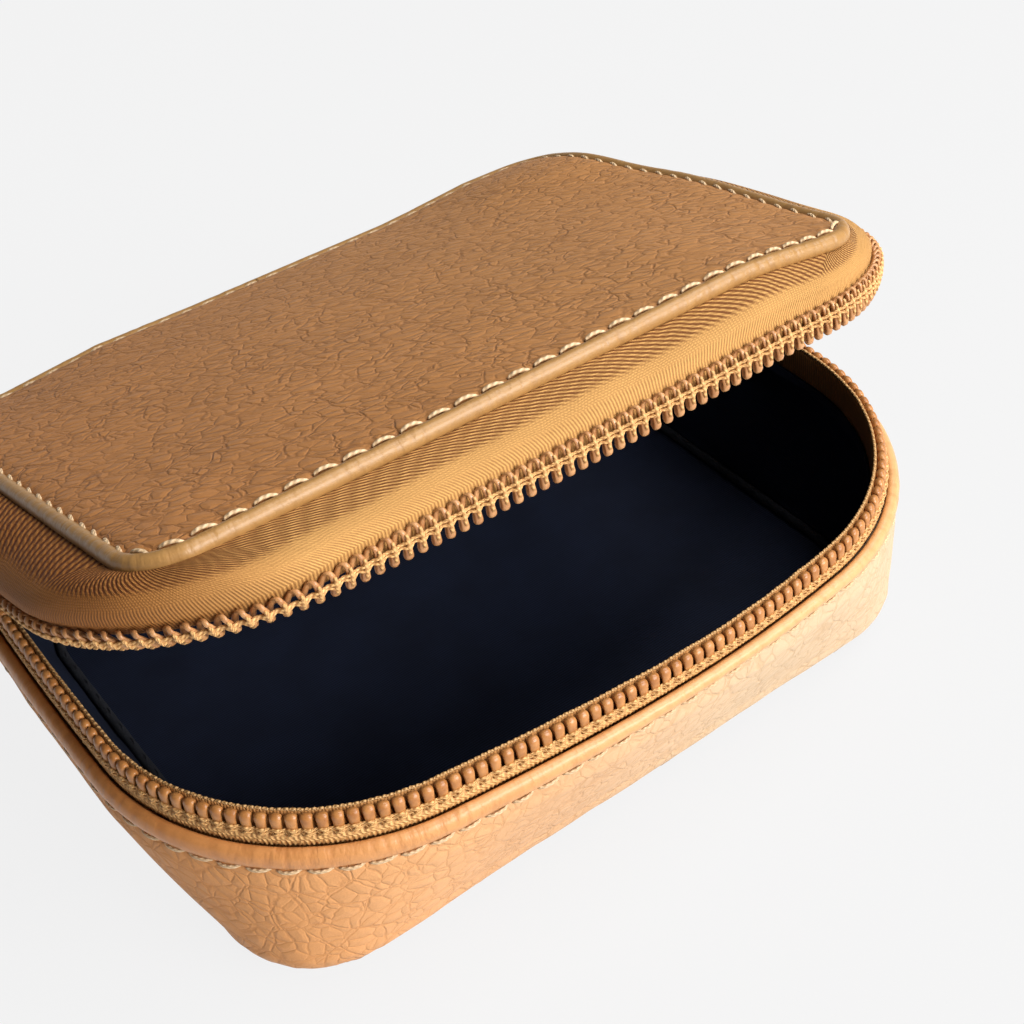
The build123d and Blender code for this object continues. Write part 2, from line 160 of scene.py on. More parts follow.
def noise2(x, y, cell, seed=0):
    """Smooth noise from -1 to 1 on cells of that size."""
    u, v = np.asarray(x) / cell + 31.7 * seed, np.asarray(y) / cell + 17.3 * seed
    i, j = np.floor(u).astype(int), np.floor(v).astype(int)
    fu, fv = u - i, v - j
    fu, fv = fu * fu * (3 - 2 * fu), fv * fv * (3 - 2 * fv)
    def at(a, b):
        return TABLE[a % 256, b % 256]
    low = at(i, j) * (1 - fu) + at(i + 1, j) * fu
    high = at(i, j + 1) * (1 - fu) + at(i + 1, j + 1) * fu
    return 2 * (low * (1 - fv) + high * fv) - 1


def swung(v, angle):
    """Points of the closed lid, turned open by an angle about the hinge."""
    y, z = v[..., 1] - HINGE_Y, v[..., 2] - HINGE_Z
    c, s = cos(angle), sin(angle)
    return np.stack([v[..., 0], HINGE_Y + y * c + z * s, HINGE_Z - y * s + z * c], axis=-1)


def ramp(x, low, high):
    """A smooth step from 0 to 1."""
    t = np.clip((x - low) / (high - low), 0, 1)
    return t * t * (3 - 2 * t)


def settle_tray(v):
    """The tray's ends as they have settled in the photo, and the zip that leans out at the front."""
    x, y, z = v[..., 0], v[..., 1], v[..., 2]
    level = np.clip(z / TRAY_TOP, 0, 1.1)
    narrowed = x + 1.45 - 1.1 * level - (0.003 + 0.0164 * level) * x
    lean = np.exp(-(((x - 12) / 27) ** 2)) * ramp(-y, 26, 38) * np.clip((z - 20.2) / 3.4, 0, 1.2)
    corner = ramp(-x, 14, 42) * ramp(-y, 4, 30) * (1 - np.clip(level, 0, 1)) ** 0.7
    return np.stack([narrowed - 0.65 * corner, y - 0.75 * lean - 0.4 * corner, z - 0.75 * lean], axis=-1)


def settle_lid(v):
    """The lid's right end, which droops at its front corner and rises at its back corner."""
    x, y, z = v[..., 0], v[..., 1], v[..., 2]
    high = ramp(z, 29.0, 32.5)
    front = ramp(-y, -8, 34)
    right = ramp(x, 22, 47)
    dx = -(1.5 + 2.3 * high) * front * right
    dz = -(1.0 + 0.8 * high) * front * right + 1.4 * high * right * np.exp(-(((y - 24) / 11) ** 2))
    back_wave = np.interp(x, [-47, -36, -23, -10, 20, 34, 47], [-0.2, -0.5, 0.4, 0.1, -0.1, 0.5, 0.0])
    dz = dz + back_wave * high * ramp(y, 15, 36)
    return np.stack([x + dx, y, z + dz], axis=-1)


def piece(name, verts, faces, run, body, mat, replaces=(), lid=False):
    v = verts
    if lid:
        v = swung(settle_lid(verts), OPEN)
    elif body == "tray":
        v = settle_tray(verts)
    mesh = bpy.data.meshes.new(name)
    mesh.from_pydata((v * MM).tolist(), [], faces)
    mesh.validate()
    data = mesh.attributes.new("run", "FLOAT_VECTOR", "POINT")
    data.data.foreach_set("vector", np.asarray(run, np.float32).ravel())
    mesh.shade_smooth()
    obj = bpy.data.objects.new(name, mesh)
    bpy.context.collection.objects.link(obj)
    mesh.materials.append(mat)
    if body:
        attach(obj, body)
    if replaces:
        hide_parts(*replaces)
    return obj


def grid_faces(m, n, wrap_rows, wrap_columns):
    """The faces of a grid of m rows and n columns, which may close on itself either way."""
    faces = []
    for i in range(m if wrap_rows else m - 1):
        for j in range(n if wrap_columns else n - 1):
            a, b = (i + 1) % m, (j + 1) % n
            faces.append((i * n + j, i * n + b, a * n + b, a * n + j))
    return faces


def row_ends(m, n):
    """The two faces that close a grid whose rows are rings."""
    return [tuple(reversed(range(n))), tuple((m - 1) * n + j for j in range(n))]


def column_ends(m, n):
    """The two faces that close a grid whose columns are rings."""
    return [tuple(i * n for i in range(m)), tuple(i * n + n - 1 for i in reversed(range(m)))]


def push(rows, amount, wrap_columns):
    """Moves a grid of points along its own normals."""
    dv = np.gradient(rows, axis=0)
    if wrap_columns:
        du = np.roll(rows, -1, 1) - np.roll(rows, 1, 1)
    else:
        du = np.gradient(rows, axis=1)
    n = np.cross(du, dv)
    n /= np.maximum(np.linalg.norm(n, axis=2, keepdims=True), 1e-9)
    return rows + n * amount[..., None]


def skin(profile, s):
    """A grid of points: one row round the case for each (outline, inset, height)."""
    rows = []
    for o, inset, z in profile:
        p, _ = trace(o, s, inset)
        rows.append(np.c_[p, np.broadcast_to(z, len(s))])
    return np.array(rows)


def grid_run(rows, along):
    """How far along and how far across each point of a grid lies."""
    step = np.linalg.norm(np.diff(rows, axis=0), axis=2).mean(axis=1)
    across = np.r_[0, np.cumsum(step)]
    m, n = rows.shape[:2]
    return np.stack([np.tile(along, (m, 1)), np.tile(across[:, None], (1, n)), np.zeros((m, n))], axis=-1)


def band(name, rows, along, ring, body, mat, replaces=(), lid=False):
    """A closed strip round the case: its rows go round the cross-section."""
    m, n = rows.shape[:2]
    faces = grid_faces(m, n, True, ring)
    if not ring:
        faces += column_ends(m, n)
    run = grid_run(rows, along)
    return piece(name, rows.reshape(-1, 3), faces, run.reshape(-1, 3), body, mat, replaces, lid)


def ring_places(o, step):
    """Places all the way round, from the middle of the back."""
    s, run = spaced(o, 4.5, 12.5, step)
    return s[:-1], run[:-1]


def plate(name, o, inset, low, high, body, mat, replaces=(), lid=False, edge=0.15, waves=0.0, seed=0):
    """A flat sheet with a rounded edge: rings that close in on the middle of its two faces."""
    s, _ = ring_places(o, 0.8)
    p, _ = trace(o, s, inset)
    centre = np.array([0, (o.back - o.front) / 2])
    rows = []
    for k in (0.02, 0.25, 0.5, 0.75, 0.9, 0.97):
        rows.append(np.c_[centre + (p - centre) * k, np.full(len(s), low)])
    q, _ = trace(o, s, inset + edge)
    rows.append(np.c_[q, np.full(len(s), low)])
    rows.append(np.c_[p, np.full(len(s), (low + high) / 2)])
    rows.append(np.c_[q, np.full(len(s), high)])
    for k in (0.985, 0.97, 0.94, 0.9, 0.84, 0.76, 0.67, 0.57, 0.46, 0.35, 0.24, 0.13, 0.04):
        r = centre + (p - centre) * k
        rise = waves * (1 - k**8) * (0.5 + 0.5 * noise2(r[:, 0], r[:, 1], 9.0, seed))
        rows.append(np.c_[r, high + rise])
    rows = np.array(rows)
    m, n = rows.shape[:2]
    faces = grid_faces(m, n, False, True)
    faces += row_ends(m, n)
    points = rows.reshape(-1, 3)
    return piece(name, points, faces, points, body, mat, replaces, lid)


def tube(path, radius, sides, out, flat=1.0):
    """Verts, faces and run of a tube along a path: out is the way its flattened side faces."""
    path = np.asarray(path, float)
    n = len(path)
    tangent = np.gradient(path, axis=0)
    tangent /= np.linalg.norm(tangent, axis=1, keepdims=True)
    ref = np.asarray(out, float)
    a = ref - (ref * tangent).sum(1, keepdims=True) * tangent
    a /= np.maximum(np.linalg.norm(a, axis=1, keepdims=True), 1e-9)
    b = np.cross(tangent, a)
    angle = np.arange(sides) * 2 * pi / sides
    r = np.broadcast_to(radius, n)[:, None, None]
    ring = a[:, None] * np.cos(angle)[None, :, None] * flat + b[:, None] * np.sin(angle)[None, :, None]
    verts = (path[:, None] + ring * r).reshape(-1, 3)
    faces = grid_faces(n, sides, False, True)
    faces += row_ends(n, sides)
    far = np.r_[0, np.cumsum(np.linalg.norm(np.diff(path, axis=0), axis=1))]
    around = np.tile(angle / (2 * pi), (n, 1))
    run = np.stack([np.tile(far[:, None], (1, sides)), around, np.zeros((n, sides))], axis=-1)
    return verts, faces, run.reshape(-1, 3)


def joined(parts):
    """Several tubes as one mesh."""
    verts, faces, runs, first = [], [], [], 0
    for v, f, r in parts:
        verts.append(v)
        runs.append(r)
        faces.extend(tuple(first + i for i in face) for face in f)
        first += len(v)
    return np.concatenate(verts), faces, np.concatenate(runs)


# Materials

class Paint:
    """A material's nodes, made by short calls."""

    def __init__(self, name):
        self.mat = bpy.data.materials.new(name)
        self.mat.use_nodes = True
        self.tree = self.mat.node_tree
        self.shader = self.tree.nodes["Principled BSDF"]

    def add(self, kind, inputs=None, out=0, **settings):
        node = self.tree.nodes.new("ShaderNode" + kind)
        for key, value in settings.items():
            setattr(node, key, value)
        for key, value in (inputs or {}).items():
            self.put(node.inputs[key], value)
        return node.outputs[out]

    def put(self, socket, value):
        if isinstance(value, bpy.types.NodeSocket):
            self.tree.links.new(value, socket)
        else:
            socket.default_value = value

    def math(self, op, a, b=0.0, c=0.0):
        return self.add("Math", {0: a, 1: b, 2: c}, operation=op)

    def mm(self, stretch=(1, 1, 1)):
        place = self.add("TexCoord", out=3)
        return self.add("VectorMath", {0: place, 1: tuple(1000 * v for v in stretch)}, operation="MULTIPLY")

    def warp(self, place, scale, amount):
        wobble = self.add("TexNoise", {"Vector": place, "Scale": scale, "Detail": 2.0}, out=1)
        shift = self.add("VectorMath", {0: wobble, 1: (0.5, 0.5, 0.5)}, operation="SUBTRACT")
        shift = self.add("VectorMath", {0: shift, "Scale": amount}, operation="SCALE")
        return self.add("VectorMath", {0: place, 1: shift}, operation="ADD")

    def noise(self, place, scale, detail=3.0, rough=0.5):
        return self.add("TexNoise", {"Vector": place, "Scale": scale, "Detail": detail, "Roughness": rough})

    def edges(self, place, scale, width):
        far = self.add("TexVoronoi", {"Vector": place, "Scale": scale}, feature="DISTANCE_TO_EDGE")
        limits = {0: far, 1: 0.0, 2: width, 3: 0.0, 4: 1.0}
        return self.add("MapRange", limits, interpolation_type="SMOOTHSTEP")

    def remap(self, value, low, high, to_low=0.0, to_high=1.0):
        return self.add("MapRange", {0: value, 1: low, 2: high, 3: to_low, 4: to_high})

    def mix(self, share, a, b, blend="MIX"):
        node = self.tree.nodes.new("ShaderNodeMix")
        node.data_type = "RGBA"
        node.blend_type = blend
        self.put(node.inputs[0], share)
        self.put(node.inputs[6], a)
        self.put(node.inputs[7], b)
        return node.outputs[2]

    def wave(self, value, pitch):
        """A sine from 0 to 1 that repeats at the pitch."""
        turn = self.math("MULTIPLY", value, 2 * pi / pitch)
        return self.math("MULTIPLY_ADD", self.math("SINE", turn), 0.5, 0.5)

    def shaded_leftward(self, colour, start, tint):
        """Painted shade: the colour, taken to a deeper tint from x = start to the case's left end, the side
        away from the lamps.
        """
        left = self.remap(self.add("SeparateXYZ", {0: self.mm()}), start, -50.0)
        return self.mix(1.0, colour, self.mix(left, rgb(1.0, 1.0, 1.0), rgb(*tint)), "MULTIPLY")

    def toned(self, colour, tint):
        """The colour times a grey share."""
        return self.mix(1.0, colour, self.add("CombineColor", {0: tint, 1: tint, 2: tint}), "MULTIPLY")

    def run(self):
        split = self.add("SeparateXYZ", {0: self.add("Attribute", attribute_name="run", out=1)})
        return split, split.node.outputs[1]

    def finish(self, colour, rough, height=None, depth=0.1, **sockets):
        self.put(self.shader.inputs["Base Color"], colour)
        self.put(self.shader.inputs["Roughness"], rough)
        if height is not None:
            bump = self.add("Bump", {"Height": height, "Distance": depth * MM, "Strength": 1.0})
            self.put(self.shader.inputs["Normal"], bump)
        for key, value in sockets.items():
            self.put(self.shader.inputs[key], value)
        return self.mat


def rgb(r, g, b):
    return (r, g, b, 1.0)


def pebbled(name, face, crease, left_shade, cell, depth, contrast, width, ripple, puff, turned=0.0, stretch=1.0):
    """Creased leather: wavy folds between pebbles, and painted shade that deepens the tone towards the left.
    """
    p = Paint(name)
    place = p.mm()
    spun = p.add("VectorRotate", {"Vector": place, "Angle": turned}, rotation_type="Z_AXIS")
    spun = p.add("VectorMath", {0: spun, 1: (stretch, 1.0, 1.0)}, operation="MULTIPLY")
    warped = p.warp(p.warp(p.warp(spun, 0.2, 1.5), 0.9, 0.32), 2.4, 0.16)
    broad = p.edges(warped, 0.45 / cell, 0.5 * width)
    line = p.edges(warped, 1 / cell, width)
    soft = p.edges(warped, 1 / cell, 0.4)
    patch = p.remap(p.noise(place, 0.3, 3.0), 0.34, 0.56, 0.45, 1.0)
    fold = p.math("MULTIPLY", p.math("SUBTRACT", 1.0, line), p.math("MULTIPLY", patch, 0.75))
    fold = p.math("MAXIMUM", fold, p.math("MULTIPLY", p.math("SUBTRACT", 1.0, broad), patch))
    wrinkles = p.noise(p.warp(spun, 1.0, 0.5), 2.0, 3.0, 0.6)
    pores = p.noise(place, 5.5, 3.0, 0.6)
    height = p.math("MULTIPLY_ADD", fold, -0.5, p.math("MULTIPLY", soft, p.math("MULTIPLY", patch, puff)))
    height = p.math("MULTIPLY_ADD", wrinkles, ripple, height)
    height = p.math("MULTIPLY_ADD", pores, 0.12, height)
    tint = p.remap(p.noise(place, 0.08, 3.0), 0.3, 0.7, 0.95, 1.04)
    tint = p.math("MULTIPLY", tint, p.remap(pores, 0.3, 0.7, 0.94, 1.04))
    tint = p.math("MULTIPLY", tint, p.remap(wrinkles, 0.3, 0.7, 1.0 - 0.3 * ripple, 1.0 + 0.2 * ripple))
    colour = p.toned(p.mix(p.math("MULTIPLY", fold, contrast), rgb(*face), rgb(*crease)), tint)
    # Painted shade: the tone deepens towards the case's left end, away from the lamps.
    colour = p.shaded_leftward(colour, 14.0, left_shade)
    rough = p.remap(height, 0.0, 1.0, 0.62, 0.47)
    return p.finish(colour, rough, height, depth, **{"Specular IOR Level": 0.35})


def smooth_leather(name, face, dark, contrast, left_shade=(1.0, 1.0, 1.0)):
    """Leather turned over an edge, with fine creases across it."""
    p = Paint(name)
    place = p.mm()
    along, across = p.run()
    turned = p.add("CombineXYZ", {0: along, 1: p.math("MULTIPLY", across, 0.4), 2: 0.0})
    creases = p.remap(p.noise(turned, 0.8, 3.0, 0.5), 0.36, 0.56)
    fine = p.noise(place, 4.0, 4.0, 0.65)
    patch = p.remap(p.noise(place, 0.12, 2.0), 0.35, 0.65, 0.35, 1.0)
    share = p.math("MULTIPLY", p.math("SUBTRACT", 1.0, creases), p.math("MULTIPLY", patch, contrast))
    tint = p.remap(fine, 0.3, 0.7, 0.94, 1.05)
    colour = p.toned(p.mix(share, rgb(*face), rgb(*dark)), tint)
    # Painted shade: the tone deepens towards the case's left end, away from the lamps.
    colour = p.shaded_leftward(colour, 10.0, left_shade)
    height = p.math("MULTIPLY_ADD", fine, 0.2, p.math("MULTIPLY", creases, patch))
    return p.finish(colour, p.remap(fine, 0.3, 0.7, 0.36, 0.46), height, 0.06, **{"Specular IOR Level": 0.5})


def tape_cloth(name, light, dark, zones, left_shade=(1.0, 1.0, 1.0)):
    """Zip tape: straight ribs by the chain, a dotted middle, and slanted ribs above."""
    p = Paint(name)
    along, across = p.run()
    wander = p.math("MULTIPLY", p.noise(p.mm(), 0.5, 2.0), 0.5)
    across = p.math("ADD", across, wander)
    lean = p.math("MULTIPLY", p.math("SUBTRACT", across, zones[1]), 1.17)
    slanted = p.remap(p.wave(p.math("ADD", along, lean), 0.86), 0.18, 0.75)
    beads = p.math("MULTIPLY_ADD", p.wave(p.math("MULTIPLY_ADD", along, 0.35, across), 0.52), 0.5, 0.55)
    slanted = p.math("MULTIPLY", slanted, beads)
    fine = p.wave(along, 0.38)
    askew = p.math("ADD", along, p.math("MULTIPLY", across, 0.5))
    dots = p.math("MULTIPLY", p.wave(askew, 0.38), p.wave(across, 0.36))
    upper = p.remap(across, zones[1] - 0.6, zones[1] + 0.6)
    middle = p.remap(across, zones[0] - 0.4, zones[0] + 0.5)
    straight = p.math("MULTIPLY_ADD", fine, 0.45, 0.35)
    dotted = p.math("MULTIPLY_ADD", dots, 0.45, 0.55)
    # The slanted ribs above are kept darker than the middle: partly the weave's own dark ribs, partly painted
    # shade under the lid's edge roll.
    slanted = p.math("MULTIPLY_ADD", dots, 0.1, p.math("MULTIPLY", slanted, 0.8))
    ribs = p.add("Mix", {0: middle, 2: straight, 3: dotted})
    ribs = p.add("Mix", {0: upper, 2: ribs, 3: slanted})
    fuzz = p.noise(p.mm(), 5.0, 4.0, 0.7)
    height = p.math("MULTIPLY_ADD", fuzz, 0.4, ribs)
    share = p.remap(height, 0.2, 1.0)
    colour = p.mix(share, rgb(*dark), rgb(*light))
    # Painted shade: the colour deepens towards the case's left end, away from the lamps.
    colour = p.shaded_leftward(colour, -33.0, left_shade)
    return p.finish(colour, 0.72, height, 0.12, **{"Specular IOR Level": 0.25})


def coil_nylon(name, light, dark):
    """Smooth, slightly shiny filament."""
    p = Paint(name)
    place = p.mm()
    shade = p.noise(place, 0.8, 3.0)
    colour = p.mix(p.remap(shade, 0.35, 0.65), rgb(*dark), rgb(*light))
    return p.finish(colour, p.remap(p.noise(place, 3.0), 0.3, 0.7, 0.26, 0.4), p.noise(place, 4.0), 0.03)


def thread(name, light, dark, twist):
    """Plied thread, whose turns are twist apart."""
    p = Paint(name)
    along, around = p.run()
    ply = p.wave(p.math("ADD", p.math("DIVIDE", along, twist), around), 1.0)
    colour = p.mix(ply, rgb(*dark), rgb(*light))
    height = p.math("MULTIPLY_ADD", p.noise(p.mm(), 8.0), 0.3, ply)
    return p.finish(colour, 0.6, height, 0.06)


def lining_cloth(name, light, dark, rib=0.34):
    """Fine ribbed cloth."""
    p = Paint(name)
    along, across = p.run()
    height = p.math("MULTIPLY_ADD", p.wave(along, 0.3), 0.35, p.wave(across, rib))
    patch = p.remap(p.noise(p.mm(), 0.15, 3.0), 0.3, 0.7, 0.5, 1.0)
    share = p.math("MULTIPLY", p.remap(height, 0.2, 1.2), patch)
    return p.finish(p.mix(share, rgb(*dark), rgb(*light)), 0.8, height, 0.02, **{"Specular IOR Level": 0.2})


def plain_cloth(name, light, dark):
    """A matt, fuzzy surface, for binding and board."""
    p = Paint(name)
    fuzz = p.noise(p.mm(), 3.0, 4.0, 0.7)
    return p.finish(p.mix(fuzz, rgb(*dark), rgb(*light)), 0.85, fuzz, 0.12)


def plated(name, colour, worn):
    """Brushed metal with worn patches."""
    p = Paint(name)
    place = p.mm((1, 0.25, 1))
    streak = p.noise(place, 4.0, 4.0, 0.6)
    blotch = p.remap(p.noise(p.mm(), 0.5, 3.0), 0.4, 0.7)
    colour = p.mix(blotch, rgb(*colour), rgb(*worn))
    return p.finish(colour, p.remap(streak, 0.3, 0.7, 0.24, 0.4), streak, 0.02, Metallic=1.0)


# The panel leather's face is darker and browner than the shell leather's: partly its own tone, partly painted
# shade for a top that the lamps only graze.
PANEL_LEATHER = pebbled(
    "panel_leather_grain", face=(0.475, 0.217, 0.071), crease=(0.20, 0.078, 0.023), left_shade=(0.92, 0.84, 0.76),
    cell=1.3, depth=0.2, contrast=0.5, width=0.09, ripple=0.2, puff=0.45, turned=radians(41), stretch=0.52,
)
SHELL_LEATHER = pebbled(
    "shell_leather_grain", face=(0.565, 0.405, 0.255), crease=(0.45, 0.27, 0.13), left_shade=(1.12, 0.68, 0.33),
    cell=2.0, depth=0.15, contrast=0.4, width=0.1, ripple=0.12, puff=0.5,
)
ROLL_LEATHER = smooth_leather("roll_leather_grain", (0.37, 0.196, 0.062), (0.24, 0.11, 0.03), 0.35)
RIM_LEATHER = smooth_leather(
    "rim_leather_grain", (0.60, 0.335, 0.14), (0.42, 0.20, 0.07), 0.5, left_shade=(0.95, 0.7, 0.5),
)
TAPE = tape_cloth(
    "zip_tape_weave", (0.57, 0.305, 0.095), (0.14, 0.042, 0.008), zones=(4.3, 6.6), left_shade=(0.62, 0.44, 0.28),
)
# The tray's tape is the same cloth as the lid's, given darker, redder colours as painted shade for its faces
# in the rim's shadow.
TRAY_TAPE = tape_cloth("tray_tape_weave", (0.42, 0.19, 0.055), (0.17, 0.062, 0.014), zones=(30.0, 40.0))
CORD = thread("cord_thread", (0.62, 0.37, 0.15), (0.30, 0.14, 0.04), 0.42)
NYLON = coil_nylon("coil_nylon", (0.47, 0.205, 0.062), (0.34, 0.130, 0.034))
# The lid's coil is the same nylon as the tray's, given lighter colours as painted light, since it faces the
# lamps.
LID_NYLON = coil_nylon("lid_coil_nylon", (0.54, 0.275, 0.112), (0.38, 0.165, 0.058))
CREAM = thread("stitch_thread", (0.74, 0.54, 0.33), (0.58, 0.39, 0.21), 0.7)
CHAIN_THREAD = thread("chain_thread", (0.76, 0.45, 0.17), (0.46, 0.22, 0.07), 0.6)
NAVY = lining_cloth("lining_weave", (0.0135, 0.0215, 0.052), (0.004, 0.0055, 0.013))
BINDING = plain_cloth("binding_cloth", (0.012, 0.014, 0.022), (0.004, 0.004, 0.007))
METAL = plated("antique_plating", (0.72, 0.50, 0.26), (0.55, 0.36, 0.17))
BOARD = plain_cloth("grey_board", (0.42, 0.38, 0.31), (0.30, 0.27, 0.22))


# The tray

def wall_at(z):
    """The outline and inset of the tray's outer face at a height."""
    if z <= BEND:
        return BASE, BEND - sqrt(BEND**2 - (BEND - z) ** 2)
    return between(BASE, RIM, min((z - BEND) / (BAND - BEND), 1.0)), 0.0


def tray_wall():
    s, along = ring_places(RIM, 0.6)
    profile = []
    for z in list(np.linspace(1.15, BEND, 8)) + list(np.linspace(5.2, 19.0, 22)):
        o, extra = wall_at(z)
        bulge = 0.45 * sin(pi * min(max((z - 3) / 15.5, 0), 1))
        profile.append((o, extra - bulge, z))
    profile += [(RIM, 0.04, 19.5), (RIM, 0.16, 19.85), (RIM, 0.34, 20.12), (RIM, 0.7, 20.2)]
    for z in (20.2, 17.6, 11.0, 4.4, 1.3):
        o, extra = wall_at(z)
        profile.append((o, extra + 2.2, z))
    rows = skin(profile, s)
    m = len(profile)
    soft = np.zeros(rows.shape[:2])
    heights = np.array([q[2] for q in profile])
    outer = np.arange(m) < m - 5
    mask = outer[:, None] * np.clip((20.0 - heights) / 3, 0, 1)[:, None]
    soft += 0.16 * noise2(along[None], heights[:, None], 8.0, 1) * mask
    soft += 0.05 * noise2(along[None], heights[:, None] * 0.6, 2.2, 2) * mask
    gather = np.clip(1.6 - heights, 0, 0.5)[:, None] * outer[:, None]
    soft += 0.5 * gather * noise2(along[None], 0 * heights[:, None], 1.3, 3)
    rows = push(rows, soft, True)
    band(
        "wall_leather_skin", rows, along, True, "tray", SHELL_LEATHER,
        ("wall_leather", "wall_stiffener"),
    )


def puckers(along, phase, seed):
    """Fine ridges across a turned edge."""
    fine = noise2(along + 0.25 * phase, 0 * along, 0.8, seed)
    broad = noise2(along - 0.2 * phase, 0 * along, 1.7, seed + 1)
    gate = 0.5 + 0.5 * noise2(along, 0 * along, 6.0, seed + 2)
    return gate * (0.6 * fine + 0.7 * broad)


def rim_roll():
    s, along = ring_places(RIM, 0.28)
    low, squash = 20.15, 0.76
    shape = [
        (0.75, 20.15), (0.36, 20.16), (0.02, 20.34), (-0.24, 20.7), (-0.4, 21.25), (-0.46, 21.9),
        (-0.4, 22.5), (-0.22, 23.05), (0.06, 23.42), (0.4, 23.6), (0.72, 23.55), (0.95, 23.3),
        (1.02, 22.8), (1.02, 21.4),
    ]
    rows = skin([(RIM, i, low + squash * (z - low)) for i, z in shape], s)
    weight = np.array([0, 0.4, 0.9, 1, 1, 1, 1, 1, 1, 0.9, 0.6, 0.3, 0, 0])[:, None]
    level = np.arange(len(shape))[:, None]
    amount = weight * 0.07 * puckers(np.tile(along, (len(shape), 1)), level * 0.8, 11)
    rows = push(rows, amount, True)
    band("rim_roll_leather", rows, along, True, "tray", RIM_LEATHER, ("rim_roll",))


def stitches(places, along, out, up, length, rise, slant, radius, seed, sunk=None):
    """A row of raised stitches: each is a short arch that dives into its two holes."""
    sunk = np.zeros(len(places)) if sunk is None else sunk
    rng = np.random.RandomState(seed)
    t = np.linspace(-1, 1, 11)
    arch = 1 - np.abs(t) ** 2.6
    parts = []
    for c, a, o, u, low in zip(places, along, out, up, sunk):
        lift = rise * rng.uniform(0.85, 1.1)
        tilt = slant * rng.uniform(0.6, 1.25)
        size = length * rng.uniform(0.94, 1.04)
        height = lift * arch - 0.14 - low
        path = c + a * (t * size / 2)[:, None] + o * height[:, None] + u * (tilt * t)[:, None]
        parts.append(tube(path, radius * (0.72 + 0.28 * arch), 8, np.tile(o, (11, 1)), 0.8))
    return joined(parts)


def ring_stitches(o, inset, count_from, flat):
    """Middle points and directions of evenly spaced stitches round an outline."""
    s = np.linspace(0, 8, 4000)
    run = lengths(o, s, inset)
    count = int(round(run[-1] / STITCH_PITCH))
    place = np.interp((np.arange(count) + count_from) * run[-1] / count, run, s)
    p, n = trace(o, place, inset)
    zero = np.zeros(count)
    side = np.c_[n, zero]
    tangent = np.c_[-n[:, 1], n[:, 0], zero]
    up = np.tile([0.0, 0.0, 1.0], (count, 1))
    return p, tangent, (up if flat else side), (-side if flat else up)


def rim_stitching():
    p, tangent, out, up = ring_stitches(RIM, 0.05, 0.5, False)
    places = np.c_[p, np.full(len(p), 20.02)]
    v, f, r = stitches(places, tangent, out, up, 2.7, 0.42, 0.1, 0.22, 5)
    piece("rim_stitches", v, f, r, "tray", CREAM, ("rim_stitching",))


def leaning(s, down):
    """How far the chain leans, in radians: the lid's curls under at its front left corner."""
    if not down:
        return np.zeros(len(s))
    left = 1 - ramp(s, 7.75, 8.3)
    right = ramp(s, 9.1, 9.7)
    return radians(40) * left + radians(22) * right


def chain_point(o, place, depth, rise, down, base):
    """Points of the chain, from their place along it, depth under its face and height above its foot."""
    lean = leaning(place, down)
    tip, face_inset = 3.5, 1.25
    up = (tip - rise) if down else rise
    q, n = trace(o, place, face_inset)
    out = up * np.sin(lean) - depth * np.cos(lean)
    z = base - tip + up * np.cos(lean) + depth * np.sin(lean) if down else base + rise
    return np.c_[q + n * out[:, None], z], np.c_[n * np.cos(lean)[:, None], np.sin(lean)]


def coil(name, o, body, skip, phase, down, base, mat, replaces, lid, flat):
    """The zip's coil: one filament that runs out to each tooth's head and back to its root."""
    s0, s1 = zip_ends(o)
    total = lengths(o, np.linspace(s0, s1, 4000), COIL_INSET)[-1]
    spare = COIL_START + TOOTH_PITCH
    count = int((total - 2 * spare) / TOOTH_PITCH)
    starts = spare + (np.arange(count) + phase) * TOOTH_PITCH
    starts = starts[starts > skip]
    # Height from the root, depth from the outer face, and shift along the chain, for one loop
    loop = [
        (0.3, 0.27, -0.2), (0.75, 0.26, -0.09), (1.3, 0.26, -0.03), (1.9, 0.26, 0.0), (2.5, 0.26, 0.0),
        (2.95, 0.3, 0.0), (3.16, 0.42, 0.0), (3.22, 0.56, 0.0), (3.16, 0.70, 0.01), (2.95, 0.82, 0.03),
        (2.5, 0.86, 0.08), (1.9, 0.86, 0.25), (1.1, 0.86, 0.52), (0.45, 0.84, 0.84), (0.22, 0.72, 1.06),
        (0.14, 0.55, 1.2), (0.18, 0.38, 1.3),
    ]
    size = [0.2, 0.22, 0.25, 0.27, 0.29, 0.31, 0.31, 0.31, 0.31, 0.3, 0.27, 0.24, 0.22, 0.2, 0.19, 0.19, 0.19]
    a, d, l = (np.array(v) for v in zip(*loop))
    far = np.clip((starts[:, None] + l[None]).ravel(), 0, total)
    place = at_lengths(o, s0, s1, far, COIL_INSET)
    path, _ = chain_point(o, place, np.tile(d, len(starts)), np.tile(a, len(starts)), down, base)
    n = trace(o, place)[1]
    chainwise = np.c_[-n[:, 1], n[:, 0], np.zeros(len(n))]
    v, f, r = tube(path, np.tile(size, len(starts)), 10, chainwise, flat)
    return piece(name, v, f, r, body, mat, replaces, lid)


